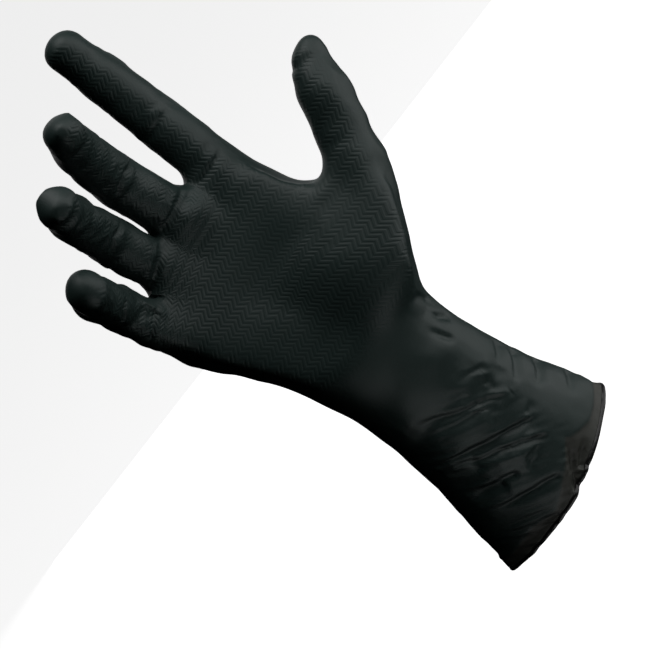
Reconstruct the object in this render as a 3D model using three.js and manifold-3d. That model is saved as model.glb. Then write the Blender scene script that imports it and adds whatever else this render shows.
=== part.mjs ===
// Nitrile exam glove in the form it takes on a hand: one dipped film with a beaded rim.
// Millimetres. The origin is the centre of the cuff's opening, +Z runs up the forearm
// to the fingers, the palm faces -Y and the thumb is on the +X side.
import Module from 'manifold-3d';
import * as THREE from 'three';
import { triTable } from 'three/addons/objects/MarchingCubes.js';
import { mergeVertices } from 'three/addons/utils/BufferGeometryUtils.js';

const wasm = await Module();
wasm.setup();

// Driving sizes
const WALL = 1; // film, drawn thick enough to print and to collide
const BEAD = 2.6; // diameter of the rolled rim
const CUFF_LENGTH = 96; // opening to wrist
const CUFF_WIDTH = 82;
const CUFF_DEPTH = 46;
const WRIST_WIDTH = 56;
const WRIST_DEPTH = 40;
const PALM_LENGTH = 71; // wrist to the middle finger's knuckle
const PALM_WIDTH = 84;
const PALM_DEPTH = 27;
const FINGER_LENGTH = 110; // middle finger, knuckle to tip
const FINGER_WIDTH = 21;
const THUMB_LENGTH = 53; // knuckle to tip
const THUMB_WIDTH = 21;
const FOLD_DEPTH = 1.6;
const FOLD_WIDTH = 5;

// Pose, in degrees
const WRIST_EXTENSION = 20; // the hand leans back from the forearm, away from the palm
const RIM_SLANT = 12; // the rim lies lower on the little finger's side

// Mesh
const CELL = 5.6;
const FINGER_LAYER = 5; // height of a layer of cells in the fingers
const CUFF_LAYER = 7;
const EROSION = 1.8; // the mesh starts this far inside, which keeps the fingers apart
const RELAX_ROUNDS = 4;
const MAX_SAG = 0.5; // flat faces lie no further from the true surface
const RIM_POINTS = 60;
const BEAD_SIDES = 8;

const { degToRad, lerp, clamp, smoothstep } = THREE.MathUtils;

// The sleeve's sections. station: 0 at the opening, 1 at the wrist, 2 at the knuckles.
// flare: 0 has the wrist's size and 1 the opening's. scale: of that size.
// shift: toward the thumb, share of CUFF_WIDTH. point: 2 is an ellipse, less has sharper sides.
const SLEEVE = [
	{ station: -0.25, flare: 1.34, scale: 1, shift: 0.03, point: 1.4 },
	{ station: 0, flare: 1, scale: 1, shift: 0.03, point: 1.45 },
	{ station: 0.2, flare: 0.66, scale: 1, shift: 0.02, point: 1.7 },
	{ station: 0.42, flare: 0.3, scale: 1, shift: 0.01, point: 1.85 },
	{ station: 0.6, flare: 0.1, scale: 1, shift: 0, point: 2 },
	{ station: 0.8, flare: -0.03, scale: 1, shift: -0.01, point: 2.1 },
	{ station: 1, flare: 0, scale: 1, shift: -0.01, point: 2.1 },
	{ station: 1.18, flare: 0, scale: 0.9, shift: -0.02, point: 2.1 },
	{ station: 1.36, flare: 0, scale: 0.6, shift: -0.02, point: 2.1 },
	{ station: 1.5, flare: 0, scale: 0.2, shift: -0.02, point: 2 },
];

// The palm's limbs. across, out and along are shares of PALM_WIDTH, PALM_DEPTH and
// PALM_LENGTH from the wrist's centre, out being toward the back of the hand.
// radius and blend are shares of PALM_DEPTH.
const PALM = [
	{
		name: 'index metacarpal', blend: 0.5,
		from: { across: 0.14, out: 0, along: 0.13, radius: 0.48 },
		to: { across: 0.18, out: 0, along: 0.98, radius: 0.43 },
	},
	{
		name: 'middle metacarpal', blend: 0.5,
		from: { across: 0.02, out: 0.04, along: 0.1, radius: 0.48 },
		to: { across: -0.06, out: 0.07, along: 1, radius: 0.43 },
	},
	{
		name: 'ring metacarpal', blend: 0.5,
		from: { across: -0.1, out: 0, along: 0.1, radius: 0.48 },
		to: { across: -0.3, out: 0.04, along: 0.91, radius: 0.43 },
	},
	{
		name: 'little metacarpal', blend: 0.4,
		from: { across: -0.17, out: -0.04, along: 0, radius: 0.44 },
		to: { across: -0.47, out: -0.1, along: 0.78, radius: 0.36 },
	},
	{
		name: 'heel by the little finger', blend: 0.4,
		from: { across: -0.17, out: -0.2, along: 0.13, radius: 0.46 },
		to: { across: -0.345, out: -0.24, along: 0.6, radius: 0.4 },
	},
	{
		name: 'ball of the thumb', blend: 0.5,
		from: { across: 0.14, out: -0.33, along: 0.22, radius: 0.5 },
		to: { across: 0.4, out: -0.5, along: 0.5, radius: 0.47 },
	},
	{
		name: 'pads under the fingers', blend: 0.35,
		from: { across: 0.2, out: -0.12, along: 0.92, radius: 0.37 },
		to: { across: -0.44, out: -0.24, along: 0.76, radius: 0.34 },
	},
	{
		name: 'web of the thumb', blend: 0.5,
		from: { across: 0.45, out: -0.37, along: 0.54, radius: 0.3 },
		to: { across: 0.24, out: -0.15, along: 0.82, radius: 0.32 },
	},
];

// The digits. Their first joint is placed as the palm's limbs are. bones are shares of the
// digit's full length and radii of its width, one more than the bones. leans, toward the
// little finger, and bends, toward the palm, are degrees from straight. roll turns the
// curl toward the thumb. folds are the depths of the creases at the joints.
const FINGERS = [
	{
		name: 'index', across: 0.18, out: 0, along: 0.98, roll: -6,
		bones: [0.42, 0.245, 0.16], radii: [0.55, 0.465, 0.43, 0.38],
		leans: [-4, -1, 0], bends: [8, 14, 20], folds: [0.5, 0.6, 0.3],
	},
	{
		name: 'middle', across: -0.055, out: 0.07, along: 1, roll: 12,
		bones: [0.465, 0.29, 0.165], radii: [0.53, 0.47, 0.42, 0.365],
		leans: [16, 16, 17], bends: [33, 58, 72], folds: [0.9, 1, 0.5],
	},
	{
		name: 'ring', across: -0.3, out: 0.04, along: 0.91, roll: 2,
		bones: [0.425, 0.265, 0.16], radii: [0.48, 0.43, 0.41, 0.37],
		leans: [9, 9, 9], bends: [38, 62, 76], folds: [0.9, 1, 0.6],
	},
	{
		name: 'little', across: -0.48, out: -0.1, along: 0.78, roll: 5,
		bones: [0.345, 0.19, 0.14], radii: [0.43, 0.42, 0.41, 0.38],
		leans: [20, 18, 17], bends: [40, 66, 82], folds: [1, 0.9, 0.5],
	},
];
const THUMB = {
	name: 'thumb', across: 0.235, out: -0.22, along: 0.19, roll: 0,
	bones: [0.86, 0.26, 0.26, 0.325], radii: [0.77, 0.56, 0.47, 0.49, 0.37],
	leans: [-42.5, -29, -29, -30], bends: [8, 4, 4, -7], folds: [0, 0, 0, 0.4],
};

// The webs between neighbouring fingers. reach: from the knuckles, share of FINGER_LENGTH.
const WEBS = [{ reach: 0.14 }, { reach: 0.155 }, { reach: 0.09 }];
const WEB_RADIUS = 0.3; // share of PALM_DEPTH

// Blends, as shares of FINGER_WIDTH
const JOINT_BLEND = 0.2;
const KNUCKLE_BLEND = 0.35;
const CROTCH_BLEND = 0.12; // between neighbouring fingers
const WRIST_BLEND = 0.5;

// The cuff's folds. around: degrees from the thumb's side toward the back. station: as above.
// length: share of CUFF_WIDTH. slant: degrees from level, rising away from the thumb.
// depth: share of FOLD_DEPTH, below zero for a ridge.
const FOLDS = [
	{ around: 300, station: 0.72, length: 0.42, slant: 24, depth: 0.8 },
	{ around: 292, station: 0.6, length: 0.5, slant: 27, depth: 1 },
	{ around: 284, station: 0.46, length: 0.5, slant: 26, depth: 1 },
	{ around: 276, station: 0.36, length: 0.46, slant: 24, depth: 0.9 },
	{ around: 262, station: 0.24, length: 0.42, slant: 20, depth: 0.7 },
	{ around: 335, station: 0.56, length: 0.36, slant: 4, depth: 0.6 },
	{ around: 340, station: 0.42, length: 0.36, slant: 2, depth: 0.5 },
	{ around: 325, station: 0.94, length: 0.3, slant: -12, depth: 0.6 },
	{ around: 225, station: 0.66, length: 0.5, slant: -18, depth: 0.8 },
	{ around: 215, station: 0.4, length: 0.5, slant: -14, depth: 0.8 },
	{ around: 150, station: 0.72, length: 0.5, slant: 12, depth: 0.8 },
	{ around: 135, station: 0.5, length: 0.55, slant: 16, depth: 0.9 },
	{ around: 95, station: 0.6, length: 0.5, slant: -10, depth: 0.8 },
	{ around: 85, station: 0.34, length: 0.5, slant: -14, depth: 0.7 },
	{ around: 50, station: 0.74, length: 0.45, slant: 10, depth: 0.8 },
	{ around: 40, station: 0.48, length: 0.45, slant: 12, depth: 0.6 },
];

// Distance fields: negative inside, in millimetres

const smoothMin = (a, b, blend) => {
	const overlap = Math.max(blend - Math.abs(a - b), 0);
	return Math.min(a, b) - (overlap * overlap) / (4 * blend);
};

const bump = (distance, width) => Math.exp(-((distance / width) ** 2));

const toHand = new THREE.Matrix4()
	.makeTranslation(0, 0, CUFF_LENGTH)
	.multiply(new THREE.Matrix4().makeRotationX(-degToRad(WRIST_EXTENSION)));

const inPalm = ({ across, out, along }) =>
	new THREE.Vector3(across * PALM_WIDTH, out * PALM_DEPTH, along * PALM_LENGTH);

class Limb {
	constructor(start, end, startRadius, endRadius) {
		this.start = start;
		this.axis = end.clone().sub(start);
		this.lengthSq = this.axis.lengthSq();
		this.radii = [startRadius, endRadius];
	}

	distance(x, y, z) {
		const { start, axis } = this;
		const [dx, dy, dz] = [x - start.x, y - start.y, z - start.z];
		const share = clamp((dx * axis.x + dy * axis.y + dz * axis.z) / this.lengthSq, 0, 1);
		const away = Math.hypot(dx - share * axis.x, dy - share * axis.y, dz - share * axis.z);
		return away - lerp(this.radii[0], this.radii[1], share);
	}
}

const boneDirection = (lean, roll, bend) => {
	const straight = new THREE.Vector3(-Math.sin(lean), 0, Math.cos(lean));
	const curl = new THREE.Vector3(Math.sin(roll), -Math.cos(roll), 0);
	return straight.multiplyScalar(Math.cos(bend)).addScaledVector(curl, Math.sin(bend));
};

class Digit {
	constructor(row, length, width) {
		const roll = degToRad(row.roll);
		const joints = [inPalm(row)];
		this.directions = row.bones.map((share, i) => {
			const direction = boneDirection(degToRad(row.leans[i]), roll, degToRad(row.bends[i]));
			joints.push(joints[i].clone().addScaledVector(direction, share * length));
			return direction;
		});
		this.knuckle = joints[0];
		this.limbs = row.bones.map((_, i) => new Limb(
			joints[i].clone().applyMatrix4(toHand),
			joints[i + 1].clone().applyMatrix4(toHand),
			row.radii[i] * width,
			row.radii[i + 1] * width,
		));
		this.blend = JOINT_BLEND * width;
		this.folds = row.folds.map((depth, i) => {
			const before = this.directions[Math.max(i - 1, 0)];
			const along = before.clone().add(this.directions[i]).normalize();
			const front = new THREE.Vector3(Math.sin(roll), -Math.cos(roll), 0);
			front.addScaledVector(along, -front.dot(along)).normalize();
			return {
				depth: depth * FOLD_DEPTH,
				radius: row.radii[i] * width,
				joint: joints[i].clone().applyMatrix4(toHand),
				along: along.transformDirection(toHand),
				front: front.transformDirection(toHand),
			};
		});
	}

	distance(x, y, z) {
		let nearest = Infinity;
		for (const limb of this.limbs) {
			nearest = smoothMin(nearest, limb.distance(x, y, z), this.blend);
		}
		for (const { depth, radius, joint, along, front } of this.folds) {
			const [dx, dy, dz] = [x - joint.x, y - joint.y, z - joint.z];
			const step = dx * along.x + dy * along.y + dz * along.z;
			const height = (dx * front.x + dy * front.y + dz * front.z) / radius;
			const side = smoothstep(height, -0.2, 0.8) * (1 - smoothstep(height, 1.3, 2));
			nearest += depth * side * bump(step, FOLD_WIDTH * 0.7);
		}
		return nearest;
	}
}

const sleeveCurve = new THREE.CubicInterpolant(
	SLEEVE.map((row) => row.station),
	SLEEVE.flatMap((row) => [row.flare, row.scale, row.shift, row.point]),
	4,
);
const LEAN = Math.tan(degToRad(WRIST_EXTENSION));
const PALM_RISE = PALM_LENGTH * Math.cos(degToRad(WRIST_EXTENSION));
const KNUCKLES = CUFF_LENGTH + PALM_RISE;

const SLEEVE_TOP = CUFF_LENGTH + (SLEEVE.at(-1).station - 1) * PALM_RISE;
const SLEEVE_BOTTOM = SLEEVE[0].station * CUFF_LENGTH;

const stationAt = (z) => (z < CUFF_LENGTH ? z / CUFF_LENGTH : 1 + (z - CUFF_LENGTH) / PALM_RISE);

const sleeveSection = (z) => {
	const [flare, scale, shift, point] = sleeveCurve.evaluate(stationAt(z));
	const above = z - CUFF_LENGTH;
	const bendLength = WRIST_DEPTH / 2;
	return {
		halfWidth: (scale * lerp(WRIST_WIDTH, CUFF_WIDTH, flare)) / 2,
		halfDepth: (scale * lerp(WRIST_DEPTH, CUFF_DEPTH, flare)) / 2,
		x: shift * CUFF_WIDTH,
		y: (LEAN * (above + Math.hypot(above, bendLength))) / 2 - (LEAN * bendLength) / 2,
		point,
	};
};

const folds = FOLDS.map(({ around, station, length, slant, depth }) => ({
	angle: degToRad(around),
	z: station * CUFF_LENGTH,
	halfLength: (length * CUFF_WIDTH) / 2,
	slant: degToRad(slant),
	depth: depth * FOLD_DEPTH,
}));

const foldDepth = (angle, radius, z) => {
	let total = 0;
	for (const fold of folds) {
		const turn = Math.atan2(Math.sin(angle - fold.angle), Math.cos(angle - fold.angle));
		const [round, rise] = [-turn * radius, z - fold.z];
		const along = round * Math.cos(fold.slant) + rise * Math.sin(fold.slant);
		const across = rise * Math.cos(fold.slant) - round * Math.sin(fold.slant);
		const valley = bump(across, FOLD_WIDTH) - 0.6 * bump(across - 1.5 * FOLD_WIDTH, FOLD_WIDTH);
		total += fold.depth * valley * bump(along, fold.halfLength * 0.8);
	}
	return total;
};

const sleeveDistance = (x, y, z) => {
	const section = sleeveSection(z);
	const [dx, dy] = [x - section.x, y - section.y];
	const radius = Math.hypot(dx, dy);
	const across = Math.abs(dx / section.halfWidth) ** section.point;
	const out = Math.abs(dy / section.halfDepth) ** section.point;
	const share = (across + out) ** (1 / section.point);
	const wall = share > 0 ? radius - radius / share : -section.halfDepth;
	const folded = wall + foldDepth(Math.atan2(dy, dx), radius, z);
	return Math.max(folded, z - SLEEVE_TOP, SLEEVE_BOTTOM - z);
};

const fingers = FINGERS.map((row) => new Digit(row, FINGER_LENGTH, FINGER_WIDTH));
const thumb = new Digit(THUMB, THUMB_LENGTH, THUMB_WIDTH);

const webLimbs = WEBS.map(({ reach }, i) => {
	const [start, end] = [fingers[i], fingers[i + 1]].map(({ knuckle, directions }) =>
		knuckle.clone().addScaledVector(directions[0], reach * FINGER_LENGTH).applyMatrix4(toHand));
	const radius = WEB_RADIUS * PALM_DEPTH;
	return { limb: new Limb(start, end, radius, radius), blend: radius };
});

const palmLimbs = PALM.map(({ from, to, blend }) => ({
	limb: new Limb(
		inPalm(from).applyMatrix4(toHand),
		inPalm(to).applyMatrix4(toHand),
		from.radius * PALM_DEPTH,
		to.radius * PALM_DEPTH,
	),
	blend: blend * PALM_DEPTH,
}));

const gloveDistance = (x, y, z) => {
	let palm = sleeveDistance(x, y, z);
	let hand = Infinity;
	for (const { limb, blend } of [...palmLimbs, ...webLimbs]) {
		hand = smoothMin(hand, limb.distance(x, y, z), blend);
	}
	palm = smoothMin(palm, hand, WRIST_BLEND * FINGER_WIDTH);
	palm = smoothMin(palm, thumb.distance(x, y, z), KNUCKLE_BLEND * THUMB_WIDTH);
	let row = Infinity;
	for (const finger of fingers) {
		row = smoothMin(row, finger.distance(x, y, z), CROTCH_BLEND * FINGER_WIDTH);
	}
	return smoothMin(palm, row, KNUCKLE_BLEND * FINGER_WIDTH);
};

const gradient = (distance, point) => {
	const step = 0.2;
	const { x, y, z } = point;
	return new THREE.Vector3(
		distance(x + step, y, z) - distance(x - step, y, z),
		distance(x, y + step, z) - distance(x, y - step, z),
		distance(x, y, z + step) - distance(x, y, z - step),
	).divideScalar(2 * step);
};

const project = (distance, point) => {
	const slope = gradient(distance, point);
	const move = distance(point.x, point.y, point.z) / Math.max(slope.lengthSq(), 0.25);
	point.addScaledVector(slope, -clamp(move, -EROSION, EROSION));
};

// Surface mesh: one vertex in each patch of a marching cube, one quad round each crossed edge

const CORNERS = [
	[0, 0, 0], [1, 0, 0], [1, 1, 0], [0, 1, 0],
	[0, 0, 1], [1, 0, 1], [1, 1, 1], [0, 1, 1],
];
const EDGES = [
	[0, 1], [1, 2], [3, 2], [0, 3],
	[4, 5], [5, 6], [7, 6], [4, 7],
	[0, 4], [1, 5], [2, 6], [3, 7],
];

const patchesOf = (code) => {
	const patches = [];
	for (let i = code * 16; triTable[i] >= 0; i += 3) {
		const merged = new Set([triTable[i], triTable[i + 1], triTable[i + 2]]);
		for (let j = patches.length - 1; j >= 0; j -= 1) {
			if ([...patches[j]].some((edge) => merged.has(edge))) {
				patches[j].forEach((edge) => merged.add(edge));
				patches.splice(j, 1);
			}
		}
		patches.push(merged);
	}
	return patches;
};

const planesBetween = (low, high, spacing) => {
	const planes = [low];
	while (planes.at(-1) < high) {
		planes.push(planes.at(-1) + spacing(planes.at(-1)));
	}
	return planes;
};

const meshField = (distance, box, level) => {
	const layer = (z) => lerp(CUFF_LAYER, FINGER_LAYER, smoothstep(z, CUFF_LENGTH, KNUCKLES));
	const planes = [
		planesBetween(box.min.x, box.max.x, () => CELL),
		planesBetween(box.min.y, box.max.y, () => CELL),
		planesBetween(box.min.z, box.max.z, layer),
	];
	const nodes = planes.map((list) => list.length);
	const counts = nodes.map((count) => count - 1);
	const nodeIndex = (i, j, k) => (k * nodes[1] + j) * nodes[0] + i;
	const nodePoint = (i, j, k) => new THREE.Vector3(planes[0][i], planes[1][j], planes[2][k]);
	const values = new Float64Array(nodes[0] * nodes[1] * nodes[2]);
	for (let k = 0; k < nodes[2]; k += 1) {
		for (let j = 0; j < nodes[1]; j += 1) {
			for (let i = 0; i < nodes[0]; i += 1) {
				const { x, y, z } = nodePoint(i, j, k);
				values[nodeIndex(i, j, k)] = distance(x, y, z) - level;
			}
		}
	}

	const points = [];
	const rings = new Map();
	const meshCell = (i, j, k) => {
		const corners = CORNERS.map(([a, b, c]) => values[nodeIndex(i + a, j + b, k + c)]);
		const code = corners.reduce((sum, value, bit) => sum + (value < 0 ? 2 ** bit : 0), 0);
		for (const patch of patchesOf(code)) {
			const centre = new THREE.Vector3();
			for (const edge of patch) {
				const [low, high] = EDGES[edge];
				const share = corners[low] / (corners[low] - corners[high]);
				const [a, b] = [CORNERS[low], CORNERS[high]];
				const start = nodePoint(i + a[0], j + a[1], k + a[2]);
				const end = nodePoint(i + b[0], j + b[1], k + b[2]);
				centre.addScaledVector(start.lerp(end, share), 1 / patch.size);

				const axis = a.findIndex((value, n) => value !== b[n]);
				const key = nodeIndex(i + a[0], j + a[1], k + a[2]) * 3 + axis;
				if (!rings.has(key)) {
					rings.set(key, { outward: corners[low] < 0, cells: [] });
				}
				const [first, second] = [a[(axis + 1) % 3], a[(axis + 2) % 3]];
				rings.get(key).cells[second ? 3 - first : first] = points.length;
			}
			points.push(centre);
		}
	};
	for (let k = 0; k < counts[2]; k += 1) {
		for (let j = 0; j < counts[1]; j += 1) {
			for (let i = 0; i < counts[0]; i += 1) {
				meshCell(i, j, k);
			}
		}
	}
	const quads = [...rings.values()].map(({ outward, cells }) =>
		(outward ? cells : [...cells].reverse()));
	return { points, quads };
};

const relax = (distance, { points, quads }) => {
	const neighbours = points.map(() => new Set());
	for (const quad of quads) {
		quad.forEach((corner, n) => {
			neighbours[corner].add(quad[(n + 1) % 4]).add(quad[(n + 3) % 4]);
		});
	}
	for (let round = 0; round < RELAX_ROUNDS; round += 1) {
		const means = neighbours.map((near) => {
			const mean = new THREE.Vector3();
			near.forEach((other) => mean.addScaledVector(points[other], 1 / near.size));
			return mean;
		});
		points.forEach((point, n) => {
			point.lerp(means[n], 0.5);
			project(distance, point);
		});
	}
	points.forEach((point) => project(distance, point));
};

const solidOf = (points, triangles) => new wasm.Manifold(new wasm.Mesh({
	numProp: 3,
	vertProperties: new Float32Array(points.flatMap((point) => point.toArray())),
	triVerts: new Uint32Array(triangles.flat()),
}));

// A quad that cuts a corner of the surface gets a point in its middle
const splitQuads = (distance, { points, quads }) => quads.flatMap(([a, b, c, d]) => {
	const middle = points[a].clone().add(points[b]).add(points[c]).add(points[d]);
	middle.divideScalar(4);
	if (Math.abs(distance(middle.x, middle.y, middle.z)) > MAX_SAG) {
		project(distance, middle);
		const e = points.push(middle) - 1;
		return [[a, b, e], [b, c, e], [c, d, e], [d, a, e]];
	}
	const shortAC = points[a].distanceTo(points[c]) < points[b].distanceTo(points[d]);
	return shortAC ? [[a, b, c], [a, c, d]] : [[a, b, d], [b, c, d]];
});

// Pieces

const slantRim = new THREE.Matrix4().makeRotationY(-degToRad(RIM_SLANT));

const belowRim = () => {
	const side = 2 * CUFF_WIDTH;
	const box = new THREE.BoxGeometry(side, side, CUFF_LENGTH);
	box.translate(0, 0, -CUFF_LENGTH / 2).applyMatrix4(slantRim);
	box.deleteAttribute('normal');
	box.deleteAttribute('uv');
	const merged = mergeVertices(box);
	return new wasm.Manifold(new wasm.Mesh({
		numProp: 3,
		vertProperties: merged.getAttribute('position').array,
		triVerts: new Uint32Array(merged.index.array),
	}));
};

// A ring of the rim's outline, found on each ray from its centre
const rimRadius = (direction) => {
	let [inside, outside] = [0, CUFF_WIDTH];
	for (let round = 0; round < 30; round += 1) {
		const middle = (inside + outside) / 2;
		const { x, y, z } = direction.clone().multiplyScalar(middle);
		if (gloveDistance(x, y, z) < -WALL / 2) {
			inside = middle;
		} else {
			outside = middle;
		}
	}
	return inside;
};

const rimBead = () => {
	const up = new THREE.Vector3(0, 0, 1).transformDirection(slantRim);
	const points = [];
	const triangles = [];
	for (let n = 0; n < RIM_POINTS; n += 1) {
		const angle = (2 * Math.PI * n) / RIM_POINTS;
		const ray = new THREE.Vector3(Math.cos(angle), Math.sin(angle), 0);
		ray.transformDirection(slantRim);
		const centre = ray.clone().multiplyScalar(rimRadius(ray));
		for (let side = 0; side < BEAD_SIDES; side += 1) {
			const turn = (2 * Math.PI * side) / BEAD_SIDES;
			points.push(centre.clone()
				.addScaledVector(ray, (BEAD / 2) * Math.cos(turn))
				.addScaledVector(up, (BEAD / 2) * Math.sin(turn)));
			const here = n * BEAD_SIDES + side;
			const beside = n * BEAD_SIDES + ((side + 1) % BEAD_SIDES);
			const next = (here + BEAD_SIDES) % (RIM_POINTS * BEAD_SIDES);
			const nextBeside = (beside + BEAD_SIDES) % (RIM_POINTS * BEAD_SIDES);
			triangles.push([here, next, nextBeside], [here, nextBeside, beside]);
		}
	}
	return solidOf(points, triangles);
};

const bounds = () => {
	const box = new THREE.Box3();
	for (const { limbs } of [...fingers, thumb]) {
		for (const { start, axis } of limbs) {
			box.expandByPoint(start).expandByPoint(start.clone().add(axis));
		}
	}
	box.expandByPoint(new THREE.Vector3(-CUFF_WIDTH / 2, -CUFF_DEPTH / 2, SLEEVE_BOTTOM));
	box.expandByPoint(new THREE.Vector3(CUFF_WIDTH / 2, CUFF_DEPTH / 2, 0));
	return box.expandByScalar(FINGER_WIDTH);
};

const gloveShell = () => {
	const mesh = meshField(gloveDistance, bounds(), -EROSION);
	relax(gloveDistance, mesh);
	const triangles = splitQuads(gloveDistance, mesh);
	const inner = mesh.points.map((point) => {
		const slope = gradient(gloveDistance, point).normalize();
		return point.clone().addScaledVector(slope, -WALL);
	});
	return solidOf(mesh.points, triangles)
		.subtract(solidOf(inner, triangles))
		.subtract(belowRim())
		.add(rimBead());
};

const meshOf = (solid) => {
	const { vertProperties, triVerts } = solid.getMesh();
	const geometry = new THREE.BufferGeometry();
	geometry.setAttribute('position', new THREE.BufferAttribute(vertProperties, 3));
	geometry.setIndex(new THREE.BufferAttribute(triVerts, 1));
	geometry.computeVertexNormals();
	return geometry;
};

const nitrile = new THREE.MeshStandardMaterial({
	color: 0x232a2a,
	roughness: 0.55,
	metalness: 0,
});

const glove = new THREE.Mesh(meshOf(gloveShell()), nitrile);
glove.name = 'glove';

const part = new THREE.Group();
part.add(glove);

export default part;
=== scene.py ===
"""Looks of a disposable black nitrile exam glove in the form it takes on a hand.

Metres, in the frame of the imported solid: the cuff opens at the origin, the forearm runs up +Z,
the palm faces -Y and the thumb is on the +X side. Tables of sizes are in millimetres.
"""

import math
from collections import namedtuple

import bmesh
import bpy
import numpy as np
from mathutils import Matrix, Vector


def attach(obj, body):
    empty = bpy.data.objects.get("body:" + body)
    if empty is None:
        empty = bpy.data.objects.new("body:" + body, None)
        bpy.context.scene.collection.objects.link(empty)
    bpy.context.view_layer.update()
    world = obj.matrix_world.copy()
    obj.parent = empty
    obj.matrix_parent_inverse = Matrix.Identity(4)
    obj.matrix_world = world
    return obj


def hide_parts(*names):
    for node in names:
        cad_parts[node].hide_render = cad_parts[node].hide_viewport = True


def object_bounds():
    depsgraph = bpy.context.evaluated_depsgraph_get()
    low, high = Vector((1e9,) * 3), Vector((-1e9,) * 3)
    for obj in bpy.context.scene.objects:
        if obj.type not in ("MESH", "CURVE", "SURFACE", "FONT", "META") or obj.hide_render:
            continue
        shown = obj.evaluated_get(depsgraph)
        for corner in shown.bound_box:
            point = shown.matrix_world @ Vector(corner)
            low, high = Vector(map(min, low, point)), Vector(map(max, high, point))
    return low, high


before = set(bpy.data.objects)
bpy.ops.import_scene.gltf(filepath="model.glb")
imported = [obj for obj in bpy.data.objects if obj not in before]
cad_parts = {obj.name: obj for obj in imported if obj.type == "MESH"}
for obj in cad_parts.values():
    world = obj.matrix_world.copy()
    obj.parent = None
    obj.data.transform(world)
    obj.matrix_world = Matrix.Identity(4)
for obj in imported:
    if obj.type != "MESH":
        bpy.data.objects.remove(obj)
cad_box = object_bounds()

MM = 0.001

# The hand's own frame starts at the wrist and leans back from the forearm.
CUFF_LENGTH = 96 * MM
WRIST = np.array([0, 0, CUFF_LENGTH])
WRIST_EXTENSION = math.radians(20)
RIM_SLANT = math.radians(12)
RIM_UP = Vector((-math.sin(RIM_SLANT), 0, math.cos(RIM_SLANT)))
RIM_CUT = 1.7 * MM  # the solid's mesh is cut off this far above the rim, clear of its bead
CUT_ZONE = 3.5 * MM  # above the cut, where small faces are merged
SMALLEST_STEP = 1.3 * MM
BEAD_RADIUS = 1.05 * MM
BEAD_INSET = 0.4 * MM
INNER_GAP = 0.3  # keeps the film's two sides clear of each other in deep creases

# The fingers from index to little, with the knuckle in the hand's frame and degrees for angles.
# The bones run from the knuckle to the tip, and grip_turn is how far the grip sits round them.
Finger = namedtuple("Finger", "knuckle roll grip_turn bones radii leans bends")
FINGERS = [
    Finger(
        knuckle=(15.1, 0.0, 69.6), roll=-6, grip_turn=26,
        bones=(46.2, 26.95, 17.6), radii=(11.55, 9.77, 9.03, 7.98),
        leans=(-4, -1, 0), bends=(8, 14, 20),
    ),
    Finger(
        knuckle=(-4.6, 1.9, 71.0), roll=12, grip_turn=8,
        bones=(51.15, 31.9, 18.15), radii=(11.13, 9.87, 8.82, 7.67),
        leans=(16, 16, 17), bends=(33, 58, 72),
    ),
    Finger(
        knuckle=(-25.2, 1.1, 64.6), roll=2, grip_turn=4,
        bones=(46.75, 29.15, 17.6), radii=(10.08, 9.03, 8.61, 7.77),
        leans=(9, 9, 9), bends=(38, 62, 76),
    ),
    Finger(
        knuckle=(-40.3, -2.7, 55.4), roll=5, grip_turn=0,
        bones=(37.95, 20.9, 15.4), radii=(9.03, 8.82, 8.61, 7.98),
        leans=(20, 18, 17), bends=(40, 66, 82),
    ),
]

# How far from its line a crease moves the film
CREASE_REACH = 9
FAR = 99.0  # stands for any distance beyond a crease's reach

# Steepness of a crease's two sides, toward the fingertips and toward the rim, as shares of its
# half width, and the rise of the pad beside a finger's crease as a share of its depth
FINGER_FLANKS = (0.75, 1.9)
SLEEVE_FLANKS = (0.85, 2.1)
PAD_RISE = 0.12

# By the narrow creases and the rim the film's faces are split finer.
BROAD = 2  # half width from which a crease is smooth without that
FINE_BY_CREASE = 4  # beyond 1.5 half widths
FINE_BY_RIM = 16

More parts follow.
